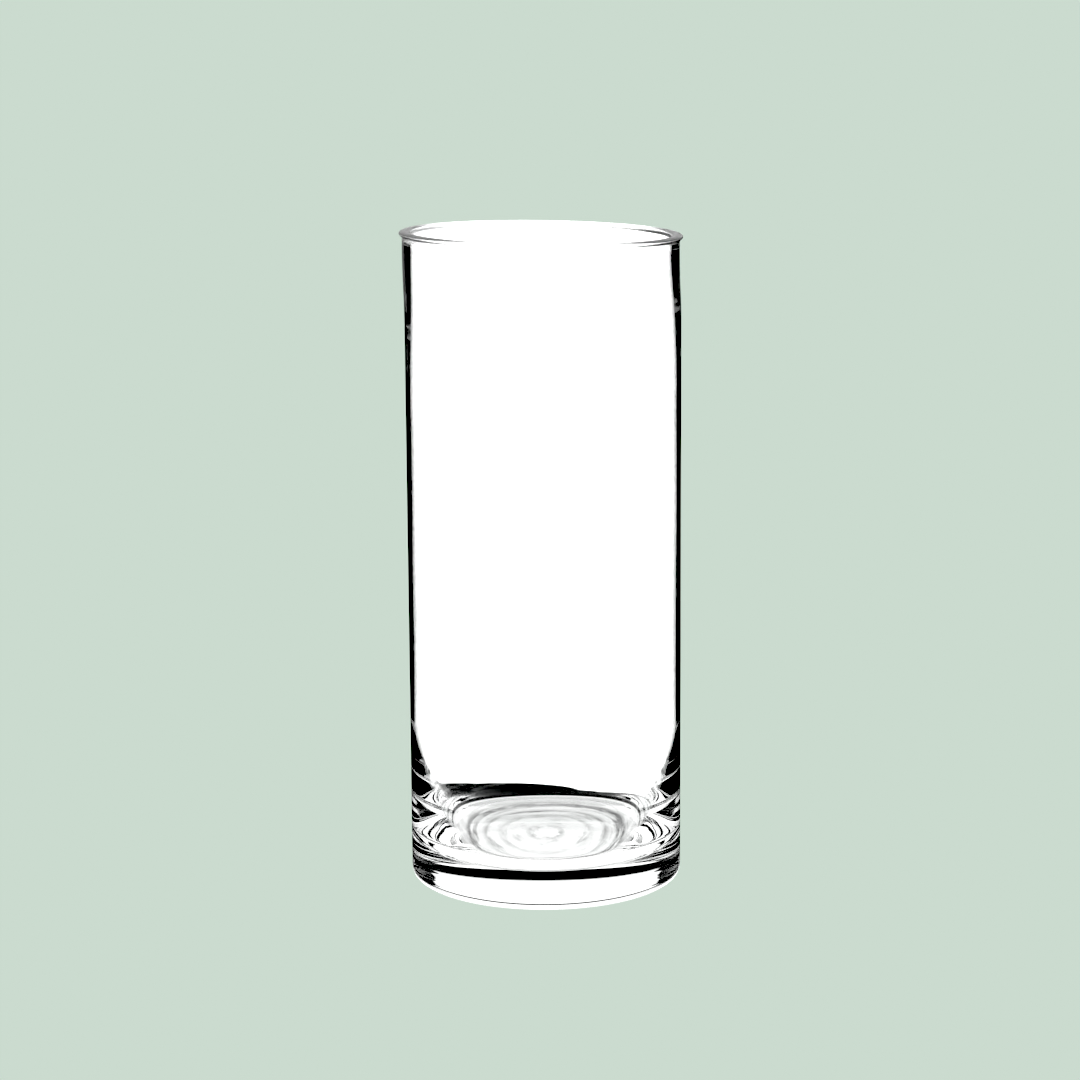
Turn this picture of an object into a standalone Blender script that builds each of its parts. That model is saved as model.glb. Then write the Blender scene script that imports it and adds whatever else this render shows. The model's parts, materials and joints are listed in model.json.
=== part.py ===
"""Glass cylinder vase: one turned piece of clear glass.

Metres, +Z up. The origin is on the axis, in the plane that the foot ring stands on.
"""
import math

import bpy

# Driving dimensions
HEIGHT = 0.250                # foot ring to the top of the lip
BODY_RADIUS = 0.0525          # outside of the straight wall
WALL_THICKNESS = 0.0015       # middle of the wall
RIM_THICKNESS = 0.0032        # wall just under the lip
RIM_TAPER_LENGTH = 0.064      # how far down from the lip the wall thins
LIP_OVERHANG = 0.0012         # how far the lip stands out past the wall
LIP_CROWN = 0.0010            # height of the lip's rounded top
LIP_FLARE_LENGTH = 0.0018     # from the edge of the lip down to the straight wall
BASE_THICKNESS = 0.0123       # foot plane to the inside floor
FLOOR_CORNER_RADIUS = 0.012   # inside, between floor and heel
HEEL_TOP = 0.062              # the thick heel has run out into the wall here
HEEL_RADIUS = 0.120           # arc that the heel follows inside
FOOT_CORNER_RADIUS = 0.0041   # outside, between wall and foot ring
FOOT_RING_WIDTH = 0.008       # flat ring that touches the table
PUSH_UP = 0.0008              # height of the hollow under the base

TURN_STEPS = 64
MERGE_DISTANCE = 0.00001


def arc(centre_r, centre_z, radius, start_deg, end_deg, count):
    """Points on an arc in the (r, z) half plane, both ends included."""
    points = []
    for i in range(count + 1):
        angle = math.radians(start_deg + (end_deg - start_deg) * i / count)
        points.append((centre_r + radius * math.cos(angle), centre_z + radius * math.sin(angle)))
    return points


def ease(t):
    """Smooth step from 0 to 1 with level ends."""
    return 0.5 - 0.5 * math.cos(math.pi * t)


def floor_and_heel():
    """Inside of the base: level floor, corner arc, then the long heel arc up to the wall."""
    inner_radius = BODY_RADIUS - WALL_THICKNESS
    heel_r = inner_radius - HEEL_RADIUS
    corner_z = BASE_THICKNESS + FLOOR_CORNER_RADIUS
    rise = HEEL_TOP - corner_z
    reach = math.sqrt((HEEL_RADIUS - FLOOR_CORNER_RADIUS) ** 2 - rise ** 2)
    meet_deg = -math.degrees(math.atan2(rise, reach))
    points = [(0.0, BASE_THICKNESS)]
    points += arc(heel_r + reach, corner_z, FLOOR_CORNER_RADIUS, -90, meet_deg, 6)
    points += arc(heel_r, HEEL_TOP, HEEL_RADIUS, meet_deg, 0, 5)[1:]
    return points


def inner_wall():
    """Inside of the wall, thin in the middle and thicker again up to the lip."""
    top = HEIGHT - LIP_CROWN
    points = []
    for i in range(6):
        t = i / 5
        thickness = WALL_THICKNESS + (RIM_THICKNESS - WALL_THICKNESS) * ease(t)
        points.append((BODY_RADIUS - thickness, top - RIM_TAPER_LENGTH * (1 - t)))
    return points


def lip():
    """Fire-polished lip: a low rounded top that leans out over the wall."""
    half = 0.5 * (RIM_THICKNESS + LIP_OVERHANG)
    centre_r = BODY_RADIUS - RIM_THICKNESS + half
    flat = LIP_CROWN / half
    bead = arc(0, 0, half, 180, 0, 8)
    return [(centre_r + r, HEIGHT - LIP_CROWN + z * flat) for r, z in bead[1:]]


def lip_flare():
    """Outside of the lip, easing back in to the straight wall."""
    top = HEIGHT - LIP_CROWN
    points = []
    for i in range(1, 5):
        t = i / 4
        points.append((BODY_RADIUS + LIP_OVERHANG * (1 - ease(t)), top - LIP_FLARE_LENGTH * t))
    return points


def foot():
    """Outside corner, flat foot ring and the shallow hollow under the base."""
    ring_outer = BODY_RADIUS - FOOT_CORNER_RADIUS
    ring_inner = ring_outer - FOOT_RING_WIDTH
    dome_radius = (ring_inner ** 2 + PUSH_UP ** 2) / (2 * PUSH_UP)
    edge_deg = math.degrees(math.asin(ring_inner / dome_radius))
    points = arc(ring_outer, FOOT_CORNER_RADIUS, FOOT_CORNER_RADIUS, 0, -90, 5)
    points += arc(0, PUSH_UP - dome_radius, dome_radius, 90 - edge_deg, 90, 4)
    points[-1] = (0.0, PUSH_UP)
    return points


def glass_material():
    """Clear soda-lime glass."""
    material = bpy.data.materials.new("clear_glass")
    material.use_nodes = True
    shader = material.node_tree.nodes["Principled BSDF"]
    shader.inputs["Base Color"].default_value = (0.97, 0.985, 0.98, 1)
    shader.inputs["Roughness"].default_value = 0.02
    shader.inputs["Metallic"].default_value = 0.0
    shader.inputs["Transmission Weight"].default_value = 1.0
    shader.inputs["IOR"].default_value = 1.52
    return material


def glass_vase(collection):
    """The whole vase: its profile from the inside floor, over the lip and down to the foot."""
    profile = floor_and_heel() + inner_wall() + lip() + lip_flare() + foot()
    mesh = bpy.data.meshes.new("glass_vase")
    mesh.from_pydata([(r, 0, z) for r, z in profile], [(i, i + 1) for i in range(len(profile) - 1)], [])
    vase = bpy.data.objects.new("glass_vase", mesh)
    collection.objects.link(vase)
    turn = vase.modifiers.new("turn", "SCREW")
    turn.axis = "Z"
    turn.steps = TURN_STEPS
    turn.render_steps = TURN_STEPS
    turn.use_merge_vertices = True
    turn.merge_threshold = MERGE_DISTANCE
    turn.use_smooth_shade = True
    vase.data.materials.append(glass_material())
    return vase


def main():
    for old in list(bpy.data.objects):
        bpy.data.objects.remove(old)
    collection = bpy.data.collections.new("glass_cylinder_vase")
    bpy.context.scene.collection.children.link(collection)
    glass_vase(collection)


main()
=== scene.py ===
import json
import math
import bpy
from mathutils import Matrix, Vector

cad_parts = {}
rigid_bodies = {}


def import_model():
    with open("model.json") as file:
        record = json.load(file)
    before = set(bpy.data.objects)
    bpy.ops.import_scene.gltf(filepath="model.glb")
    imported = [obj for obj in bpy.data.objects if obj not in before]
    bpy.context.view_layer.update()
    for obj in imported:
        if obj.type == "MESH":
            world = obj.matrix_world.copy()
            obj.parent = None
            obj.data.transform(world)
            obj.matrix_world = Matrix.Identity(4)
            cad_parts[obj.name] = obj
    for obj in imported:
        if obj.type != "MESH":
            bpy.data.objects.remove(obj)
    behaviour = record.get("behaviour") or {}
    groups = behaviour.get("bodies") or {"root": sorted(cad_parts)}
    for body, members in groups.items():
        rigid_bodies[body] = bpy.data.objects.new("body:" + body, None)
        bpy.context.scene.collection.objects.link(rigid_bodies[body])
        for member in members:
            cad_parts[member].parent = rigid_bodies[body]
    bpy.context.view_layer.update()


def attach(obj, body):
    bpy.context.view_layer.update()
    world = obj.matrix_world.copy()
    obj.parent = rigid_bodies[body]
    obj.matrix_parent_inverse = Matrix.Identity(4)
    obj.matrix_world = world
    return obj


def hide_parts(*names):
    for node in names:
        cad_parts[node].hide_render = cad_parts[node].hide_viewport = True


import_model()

mm = 0.001

vase = {
    "height": 250 * mm,
    "radius": 52.5 * mm,
    "wall": 1.5 * mm,
    "rimWall": 3.2 * mm,
    "rimTaper": 64 * mm,
    "lipLean": 1.2 * mm,
    "lipCrown": 1.0 * mm,
    "lipFlare": 1.8 * mm,
    "floor": 12.3 * mm,
    "floorCorner": 12 * mm,
    "heelTop": 62 * mm,
    "heelArc": 120 * mm,
    "footCorner": 4.1 * mm,
    "footRing": 8 * mm,
    "pushUp": 0.8 * mm,
    "turns": 256,
}


def deselectAll():
    for other in bpy.context.scene.objects:
        other.select_set(False)


def makeActive(piece):
    deselectAll()
    piece.select_set(True)
    bpy.context.view_layer.objects.active = piece


def mathNode(tree, operation, *values):
    node = tree.nodes.new("ShaderNodeMath")
    node.operation = operation
    for socket, value in zip(node.inputs, values):
        if isinstance(value, bpy.types.NodeSocket):
            tree.links.new(value, socket)
        else:
            socket.default_value = value
    return node.outputs[0]


def fade(tree, value, start, end):
    # 0 at start and 1 at end, smoothly
    node = tree.nodes.new("ShaderNodeMapRange")
    node.interpolation_type = "SMOOTHSTEP"
    tree.links.new(value, node.inputs["Value"])
    node.inputs["From Min"].default_value = start
    node.inputs["From Max"].default_value = end
    return node.outputs["Result"]


def window(tree, value, low, high, soft):
    rising = fade(tree, value, low - soft, low + soft)
    falling = fade(tree, value, high + soft, high - soft)
    return mathNode(tree, "MULTIPLY", rising, falling)


def axes(tree, socket):
    node = tree.nodes.new("ShaderNodeSeparateXYZ")
    tree.links.new(socket, node.inputs[0])
    return node.outputs


def vector(tree, *values):
    node = tree.nodes.new("ShaderNodeCombineXYZ")
    for socket, value in zip(node.inputs, values):
        tree.links.new(value, socket)
    return node.outputs["Vector"]


def noise(tree, place, detail, roughness=0.5, distortion=0.0):
    node = tree.nodes.new("ShaderNodeTexNoise")
    node.inputs["Scale"].default_value = 1.0
    node.inputs["Detail"].default_value = detail
    node.inputs["Roughness"].default_value = roughness
    node.inputs["Distortion"].default_value = distortion
    tree.links.new(place, node.inputs["Vector"])
    return node.outputs["Fac"]


def ease(t):
    return 0.5 - 0.5 * math.cos(math.pi * t)


def arcPoints(centre, radius, start, end, count):
    points = []
    for i in range(count + 1):
        a = math.radians(start + (end - start) * i / count)
        points.append((centre[0] + radius * math.cos(a), centre[1] + radius * math.sin(a)))
    return points


def linePoints(start, end, count):
    # the start point is already in the outline, so it is left out
    return [tuple(s + (e - s) * i / count for s, e in zip(start, end)) for i in range(1, count + 1)]


def insideOutline(v):
    # the middle of the floor, the corner, the long heel and the wall up to the lip
    inner = v["radius"] - v["wall"]
    heelR = inner - v["heelArc"]
    cornerZ = v["floor"] + v["floorCorner"]
    rise = v["heelTop"] - cornerZ
    reach = math.sqrt((v["heelArc"] - v["floorCorner"]) ** 2 - rise ** 2)
    meet = -math.degrees(math.atan2(rise, reach))
    top = v["height"] - v["lipCrown"]
    taperZ = top - v["rimTaper"]
    points = [(0.0, v["floor"])]
    points += linePoints(points[-1], (heelR + reach, v["floor"]), 26)
    points += arcPoints((heelR + reach, cornerZ), v["floorCorner"], -90, meet, 20)[1:]
    points += arcPoints((heelR, v["heelTop"]), v["heelArc"], meet, 0, 40)[1:]
    points += linePoints(points[-1], (inner, taperZ), 48)
    for i in range(1, 25):
        thick = v["wall"] + (v["rimWall"] - v["wall"]) * ease(i / 24)
        points.append((v["radius"] - thick, taperZ + v["rimTaper"] * i / 24))
    return points


def outsideOutline(v):
    # the lip's bead, its flare, the straight wall, the foot ring and the hollow under it
    top = v["height"] - v["lipCrown"]
    half = 0.5 * (v["rimWall"] + v["lipLean"])
    flat = v["lipCrown"] / half
    lipR = v["radius"] - v["rimWall"] + half
    points = [(lipR + r, top + z * flat) for r, z in arcPoints((0, 0), half, 180, 0, 20)[1:]]
    for i in range(1, 9):
        points.append((v["radius"] + v["lipLean"] * (1 - ease(i / 8)), top - v["lipFlare"] * i / 8))
    points += linePoints(points[-1], (v["radius"], v["footCorner"]), 76)
    ringOuter = v["radius"] - v["footCorner"]
    ringInner = ringOuter - v["footRing"]
    points += arcPoints((ringOuter, v["footCorner"]), v["footCorner"], 0, -90, 14)[1:]
    dome = (ringInner ** 2 + v["pushUp"] ** 2) / (2 * v["pushUp"])
    edge = math.degrees(math.asin(ringInner / dome))
    points += arcPoints((0, v["pushUp"] - dome), dome, 90 - edge, 90, 18)
    points[-1] = (0.0, v["pushUp"])
    return points


def vaseOutline(v):
    return insideOutline(v) + outsideOutline(v)


def blowVase(v):
    outline = vaseOutline(v)
    deselectAll()
    bpy.ops.mesh.primitive_plane_add(size=mm)
    piece = bpy.context.object
    piece.name = "vaseGlass"
    bpy.ops.object.mode_set(mode="EDIT")
    bpy.ops.mesh.select_mode(type="VERT")
    bpy.ops.mesh.select_all(action="SELECT")
    bpy.ops.mesh.merge(type="CENTER")
    bpy.ops.transform.translate(value=(outline[0][0], 0, outline[0][1]))
    for (r0, z0), (r1, z1) in zip(outline, outline[1:]):
        bpy.ops.mesh.extrude_region_move(TRANSFORM_OT_translate={"value": (r1 - r0, 0, z1 - z0)})
    bpy.ops.mesh.select_all(action="SELECT")
    bpy.ops.mesh.spin(steps=v["turns"], angle=2 * math.pi, center=(0, 0, 0), axis=(0, 0, 1))
    bpy.ops.mesh.select_all(action="SELECT")
    bpy.ops.mesh.remove_doubles(threshold=0.01 * mm)
    bpy.ops.mesh.normals_make_consistent(inside=False)
    bpy.ops.object.mode_set(mode="OBJECT")
    bpy.ops.object.shade_smooth()
    return piece


handwork = {
    "lipShift": (-0.6 * mm, 0, 1.3 * mm),  # the lip isn't quite over the wall
    "lipTilt": -1.1,                # degrees, higher on the left
    "lipReach": 30 * mm,
    "swell": 0.14 * mm,             # slow waves all over
    "swellSize": 80 * mm,
    "ripple": 0.05 * mm,            # turning marks on the inside floor and just above it
    "rippleSize": (70 * mm, 70 * mm, 9 * mm),
    "rippleTop": 34 * mm,
    "rippleFade": 14 * mm,
    "footFade": 10 * mm,            # the swell starts this gently above the foot
}


def selectAbove(piece, z):
    bpy.ops.object.mode_set(mode="EDIT")
    bpy.ops.mesh.select_all(action="DESELECT")
    bpy.ops.object.mode_set(mode="OBJECT")
    for vertex in piece.data.vertices:
        vertex.select = vertex.co.z > z
    bpy.ops.object.mode_set(mode="EDIT")


def leanLip(piece, v, h):
    makeActive(piece)
    selectAbove(piece, v["height"] - v["rimWall"])
    soft = {
        "use_proportional_edit": True,
        "proportional_edit_falloff": "SMOOTH",
        "proportional_size": h["lipReach"],
    }
    bpy.ops.transform.translate(value=h["lipShift"], **soft)
    top = (0, 0, v["height"])
    tilt = math.radians(h["lipTilt"])
    bpy.ops.transform.rotate(value=tilt, orient_axis="Y", center_override=top, **soft)
    bpy.ops.object.mode_set(mode="OBJECT")


def displace(piece, name, size, strength, group=""):
    # waves of one size, read in the space of a guide that is scaled to it
    guide = bpy.data.objects.new(name + "Guide", None)
    bpy.context.scene.collection.objects.link(guide)
    guide.scale = size
    texture = bpy.data.textures.new(name, "CLOUDS")
    texture.noise_scale = 1.0
    texture.noise_depth = 1
    wave = piece.modifiers.new(name, "DISPLACE")
    wave.texture = texture
    wave.texture_coords = "OBJECT"
    wave.texture_coords_object = guide
    wave.strength = strength
    wave.mid_level = 0.5
    wave.vertex_group = group
    makeActive(piece)
    bpy.context.view_layer.update()
    bpy.ops.object.modifier_apply(modifier=wave.name)
    bpy.data.objects.remove(guide)


def handFinish(piece, v, h):
    free = piece.vertex_groups.new(name="free")  # all but the foot, which has to stand flat
    turned = piece.vertex_groups.new(name="turned")
    for vertex in piece.data.vertices:
        x, y, z = vertex.co
        r = math.hypot(x, y)
        inside = z > v["floor"] - mm and r < v["radius"] - 0.5 * v["wall"]
        lifted = max(0, z - v["footCorner"]) / h["footFade"]
        free.add([vertex.index], min(1, lifted), "REPLACE")
        if inside and z < h["rippleTop"]:
            depth = (h["rippleTop"] - z) / h["rippleFade"]
            turned.add([vertex.index], ease(min(1, depth)), "REPLACE")
    displace(piece, "swell", (h["swellSize"],) * 3, h["swell"], "free")
    displace(piece, "ripple", h["rippleSize"], h["ripple"], "turned")
    piece.vertex_groups.clear()


glass = {
    "tint": ((0.988, 1.0, 0.994, 1), (1, 1, 1, 1)),
    "tintFrom": (0.35, 0.65),
    "ior": 1.52,
    "haze": 0.006,                # the most that the polished wall scatters
    "lipHaze": 0.3,               # the lip is only fire-finished
    "lipHazeFrom": 248.0 * mm,
    "cords": (9, 9, 120),         # flat streaks in the melt, per metre
    "cordDepth": 0.02 * mm,
    "cordStrength": 0.5,
}


def clearGlass(g, v):
    material = bpy.data.materials.new("clearGlass")
    material.use_nodes = True
    tree = material.node_tree
    shader = tree.nodes["Principled BSDF"]
    shader.inputs["IOR"].default_value = g["ior"]
    shader.inputs["Transmission Weight"].default_value = 1.0
    coords = tree.nodes.new("ShaderNodeTexCoord")
    stretch = tree.nodes.new("ShaderNodeMapping")
    stretch.inputs["Scale"].default_value = g["cords"]
    tree.links.new(coords.outputs["Object"], stretch.inputs["Vector"])
    cords = noise(tree, stretch.outputs["Vector"], 3.0, distortion=0.4)
    bump = tree.nodes.new("ShaderNodeBump")
    bump.inputs["Distance"].default_value = g["cordDepth"]
    bump.inputs["Strength"].default_value = g["cordStrength"]
    tree.links.new(cords, bump.inputs["Height"])
    tree.links.new(bump.outputs["Normal"], shader.inputs["Normal"])
    tint = tree.nodes.new("ShaderNodeMix")
    tint.data_type = "RGBA"
    tint.inputs[6].default_value, tint.inputs[7].default_value = g["tint"]
    tree.links.new(fade(tree, cords, *g["tintFrom"]), tint.inputs["Factor"])
    tree.links.new(tint.outputs[2], shader.inputs["Base Color"])
    height = axes(tree, coords.outputs["Object"])["Z"]
    lip = fade(tree, height, g["lipHazeFrom"], v["height"] - 0.3 * v["lipCrown"])
    haze = mathNode(tree, "MULTIPLY", cords, g["haze"])
    haze = mathNode(tree, "ADD", haze, mathNode(tree, "MULTIPLY", lip, g["lipHaze"]))
    tree.links.new(haze, shader.inputs["Roughness"])
    return material


vaseGlass = blowVase(vase)
print("vase blown:", len(vaseGlass.data.polygons), "faces")
leanLip(vaseGlass, vase, handwork)
handFinish(vaseGlass, vase, handwork)
vaseGlass.data.materials.append(clearGlass(glass, vase))
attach(vaseGlass, "root")
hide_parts("glass_vase")
print("vase finished by hand")

studio = {
    "sweep": (0.597, 0.708, 0.624),
    "cameraDistance": 1.132,
    "cameraHeight": 0.350,
    "lookAt": (-0.00166, 0.0, 0.1327),
    "fov": 20.46,
    "roll": -0.0065,
    "light": 1.45,
    "throughLight": 3.2,          # straight through the glass
    "mostBounces": 8,             # light that turns more often inside the glass is lost
    "flags": (46, 82),            # degrees from the back, dark screens on both sides
    "flagSoft": 1.5,
    "flagRag": (1.1, 30.0),       # how often and how far their edges wander
    "lowLight": (4.0, 10.5),      # degrees above level
    "softBox": (16.2, 36.0),
    "boxSoft": 0.4,
    "ceiling": (35.0, 39.0),
    "ceilingLight": 0.52,
    "black": 0.085,               # what is darker than this prints black
}

tableTop = {
    "size": 12.0,
    "drop": 0.2 * mm,
    "contactShade": 57 * mm,           # painted shade: a dark ring where the foot meets the table
    "contactShadeFrom": -20 * mm,      # it fades out towards the front
    "shades": ((-15, 36, 37), (0, 20, 40)),  # the vase's own shade: middle and radius in mm
    "near": (53 * mm, 57 * mm),   # light that turned once counts inside this
    "behind": (0, 62, 48),        # and on this patch behind the base, in mm
    "manyReach": 0.25,            # light that turned more often counts this far out
    "limbSide": (4, 23),          # painted light: a faint lit patch far out on the table, in degrees to the left of the back
    "limbReach": (2.1, 6.5),
    "limbLight": 0.15,
}

paintedShadeRings = {
    "light": 1.1,                 # painted shade: the table is lit weaker under the base, so that the painted rings of shade show
    "across": 330,                # how fine the painted streaks of shade are
    "round": 1.5,
    "bands": ((34.5, 5.0, 1.0), (26.0, 2.6, 0.45), (19.0, 3.0, 0.3), (7.0, 3.0, 0.4)),
    "wander": 8 * mm,
    "streaks": (0.5, 0.75),
    "streakDepth": 0.35,
    "patches": (0.32, 0.6),
    "deepest": 0.8,
    "edge": 6 * mm,
}


def sweepColour(s):
    # lifted, because the black point is taken off again in the view
    return [c * (1 - s["black"]) + s["black"] for c in s["sweep"]] + [1]


def cameraSees(tree, path, sweep, room):
    # the backdrop's colour for the camera, the room for the glass
    mix = tree.nodes.new("ShaderNodeMixShader")
    tree.links.new(path.outputs["Is Camera Ray"], mix.inputs["Fac"])
    tree.links.new(room.outputs[0], mix.inputs[1])
    tree.links.new(sweep.outputs[0], mix.inputs[2])
    return mix.outputs[0]


def makeWorld(s):
    world = bpy.data.worlds.new("studio")
    bpy.context.scene.world = world
    world.use_nodes = True
    tree = world.node_tree
    tree.nodes.clear()
    path = tree.nodes.new("ShaderNodeLightPath")
    coords = tree.nodes.new("ShaderNodeTexCoord")
    look = axes(tree, coords.outputs["Generated"])
    rise = mathNode(tree, "DEGREES", mathNode(tree, "ARCSINE", look["Z"]))
    turn = mathNode(tree, "ARCTAN2", look["X"], look["Y"])
    turn = mathNode(tree, "ABSOLUTE", mathNode(tree, "DEGREES", turn))
    often, far = s["flagRag"]
    rag = noise(tree, vector(tree, mathNode(tree, "MULTIPLY", rise, often)), 3.0)
    shift = mathNode(tree, "MULTIPLY", mathNode(tree, "SUBTRACT", rag, 0.5), far)
    flags = window(tree, mathNode(tree, "ADD", turn, shift), *s["flags"], s["flagSoft"])
    lowLight = window(tree, rise, *s["lowLight"], s["boxSoft"])
    softBox = window(tree, rise, *s["softBox"], s["boxSoft"])
    boxes = mathNode(tree, "MAXIMUM", lowLight, softBox)
    boxes = mathNode(tree, "MULTIPLY", boxes, mathNode(tree, "SUBTRACT", 1.0, flags))
    ceiling = mathNode(tree, "MULTIPLY", fade(tree, rise, *s["ceiling"]), s["ceilingLight"])
    bounces = path.outputs["Glossy Depth"]
    through = mathNode(tree, "LESS_THAN", bounces, 0.5)
    kept = mathNode(tree, "LESS_THAN", bounces, s["mostBounces"] + 0.5)
    lit = mathNode(tree, "MULTIPLY", mathNode(tree, "MAXIMUM", boxes, ceiling), s["light"])
    lit = mathNode(tree, "MULTIPLY", lit, kept)
    lit = mathNode(tree, "MAXIMUM", lit, mathNode(tree, "MULTIPLY", through, s["throughLight"]))
    room = tree.nodes.new("ShaderNodeBackground")
    room.inputs["Color"].default_value = (1, 1, 1, 1)
    tree.links.new(lit, room.inputs["Strength"])
    sweep = tree.nodes.new("ShaderNodeBackground")
    sweep.inputs["Color"].default_value = sweepColour(s)
    out = tree.nodes.new("ShaderNodeOutputWorld")
    tree.links.new(cameraSees(tree, path, sweep, room), out.inputs["Surface"])


def radiusFrom(tree, coords, x, y):
    away = tree.nodes.new("ShaderNodeVectorMath")
    away.operation = "DISTANCE"
    tree.links.new(coords.outputs["Object"], away.inputs[0])
    away.inputs[1].default_value = (x, y, 0)
    return away.outputs["Value"]


def disc(tree, coords, x, y, radius, soft):
    return fade(tree, radiusFrom(tree, coords, x * mm, y * mm), (radius + soft) * mm, (radius - soft) * mm)


def paintedRingShade(tree, coords, radius, r, v):
    # painted shade: 1 where the table is bright, less in broken rings of painted shade under the base
    place = axes(tree, coords.outputs["Object"])
    around = mathNode(tree, "ARCTAN2", place["Y"], place["X"])
    across = mathNode(tree, "MULTIPLY", radius, r["across"])
    cosine = mathNode(tree, "MULTIPLY", mathNode(tree, "COSINE", around), r["round"])
    sine = mathNode(tree, "MULTIPLY", mathNode(tree, "SINE", around), r["round"])
    grain = noise(tree, vector(tree, across, cosine, sine), 4.0, roughness=0.6)
    wander = mathNode(tree, "MULTIPLY", mathNode(tree, "SUBTRACT", grain, 0.5), r["wander"])
    offset = mathNode(tree, "ADD", radius, wander)
    dim = mathNode(tree, "MULTIPLY", fade(tree, grain, *r["streaks"]), r["streakDepth"])
    for middle, wide, depth in r["bands"]:
        inner = fade(tree, offset, (middle - wide) * mm, middle * mm)
        outer = fade(tree, offset, (middle + wide) * mm, middle * mm)
        band = mathNode(tree, "MULTIPLY", mathNode(tree, "MULTIPLY", inner, outer), depth)
        dim = mathNode(tree, "ADD", dim, band)
    dim = mathNode(tree, "MULTIPLY", dim, fade(tree, grain, *r["patches"]))
    dim = mathNode(tree, "MINIMUM", dim, r["deepest"])
    dim = mathNode(tree, "MULTIPLY", dim, fade(tree, radius, v["radius"], v["radius"] - r["edge"]))
    return mathNode(tree, "SUBTRACT", 1.0, dim)


def limbGlow(tree, coords, radius, t):
    # painted light on the table, which shows only in the left edge of the wall
    place = axes(tree, coords.outputs["Object"])
    left = mathNode(tree, "MULTIPLY", place["X"], -1.0)
    side = mathNode(tree, "DEGREES", mathNode(tree, "ARCTAN2", left, place["Y"]))
    across = window(tree, side, *t["limbSide"], 3.0)
    along = window(tree, radius, *t["limbReach"], 0.3)
    return mathNode(tree, "MULTIPLY", mathNode(tree, "MULTIPLY", across, along), t["limbLight"])


def vaseShade(tree, coords, radius, t, v):
    # painted shade on the table: a dark ring at the foot and dark discs behind the base
    front = fade(tree, axes(tree, coords.outputs["Object"])["Y"], t["contactShadeFrom"], 0.0)
    contactShade = fade(tree, radius, t["contactShade"] + mm, t["contactShade"] - mm)
    shade = mathNode(tree, "MULTIPLY", contactShade, front)
    for x, y, wide in t["shades"]:
        shade = mathNode(tree, "MAXIMUM", shade, disc(tree, coords, x, y, wide, 1))
    return mathNode(tree, "MULTIPLY", shade, fade(tree, radius, v["radius"] - mm, v["radius"]))


def straightLight(tree, coords, radius, s, t, r, v):
    # on the table, for light that crosses the glass without turning
    # painted shade: the table under the base gets the weaker light
    under = fade(tree, radius, v["radius"] + mm, v["radius"] - mm)
    weaker = mathNode(tree, "MULTIPLY", under, s["throughLight"] - r["light"])
    strength = mathNode(tree, "SUBTRACT", s["throughLight"], weaker)
    clear = mathNode(tree, "SUBTRACT", 1.0, vaseShade(tree, coords, radius, t, v))
    lit = mathNode(tree, "MULTIPLY", clear, strength)
    return mathNode(tree, "MULTIPLY", lit, paintedRingShade(tree, coords, radius, r, v))


def makeTable(s, t, r, v):
    deselectAll()
    bpy.ops.mesh.primitive_plane_add(size=t["size"], location=(0, 0, -t["drop"]))
    table = bpy.context.object
    table.name = "table"
    material = bpy.data.materials.new("paleTable")
    material.use_nodes = True
    tree = material.node_tree
    tree.nodes.clear()
    path = tree.nodes.new("ShaderNodeLightPath")
    coords = tree.nodes.new("ShaderNodeTexCoord")
    radius = radiusFrom(tree, coords, 0, 0)
    bounces = path.outputs["Glossy Depth"]
    straight = straightLight(tree, coords, radius, s, t, r, v)
    # painted light: for light that turned once the table is lit only near the foot, on a patch behind the
    # base and in the far patch; for light that turned more often only out to manyReach
    once = mathNode(tree, "SUBTRACT", 1.0, fade(tree, radius, *t["near"]))
    once = mathNode(tree, "MAXIMUM", once, disc(tree, coords, *t["behind"], 2))
    once = mathNode(tree, "MAXIMUM", once, limbGlow(tree, coords, radius, t))
    single = mathNode(tree, "MULTIPLY", mathNode(tree, "COMPARE", bounces, 1.0, 0.5), once)
    many = mathNode(tree, "LESS_THAN", bounces, s["mostBounces"] + 0.5)
    kept = mathNode(tree, "MULTIPLY", many, mathNode(tree, "LESS_THAN", radius, t["manyReach"]))
    several = mathNode(tree, "MULTIPLY", mathNode(tree, "GREATER_THAN", bounces, 1.5), kept)
    lit = mathNode(tree, "MULTIPLY", mathNode(tree, "LESS_THAN", bounces, 0.5), straight)
    lit = mathNode(tree, "ADD", lit, mathNode(tree, "MULTIPLY", single, s["light"]))
    lit = mathNode(tree, "ADD", lit, mathNode(tree, "MULTIPLY", several, s["light"]))
    room = tree.nodes.new("ShaderNodeEmission")
    tree.links.new(lit, room.inputs["Strength"])
    sweep = tree.nodes.new("ShaderNodeEmission")
    sweep.inputs["Color"].default_value = sweepColour(s)
    out = tree.nodes.new("ShaderNodeOutputMaterial")
    tree.links.new(cameraSees(tree, path, sweep, room), out.inputs["Surface"])
    table.data.materials.append(material)


def makeCamera(s):
    data = bpy.data.cameras.new("studioCamera")
    camera = bpy.data.objects.new("studioCamera", data)
    bpy.context.scene.collection.objects.link(camera)
    data.lens_unit = "FOV"
    data.angle = math.radians(s["fov"])
    place = Vector((0, -s["cameraDistance"], s["cameraHeight"]))
    turn = (Vector(s["lookAt"]) - place).to_track_quat("-Z", "Y").to_matrix().to_4x4()
    camera.matrix_world = Matrix.Translation(place) @ turn @ Matrix.Rotation(s["roll"], 4, "Z")
    bpy.context.scene.camera = camera


makeWorld(studio)
makeTable(studio, tableTop, paintedShadeRings, vase)
makeCamera(studio)
scene = bpy.context.scene
scene.view_settings.view_transform = "Standard"
scene.view_settings.use_curve_mapping = True
scene.view_settings.curve_mapping.black_level = [studio["black"]] * 3
scene.view_settings.curve_mapping.update()
scene.cycles.max_bounces = 32
scene.cycles.transmission_bounces = 32
scene.cycles.glossy_bounces = 16
scene.cycles.transparent_max_bounces = 32
print("studio ready")
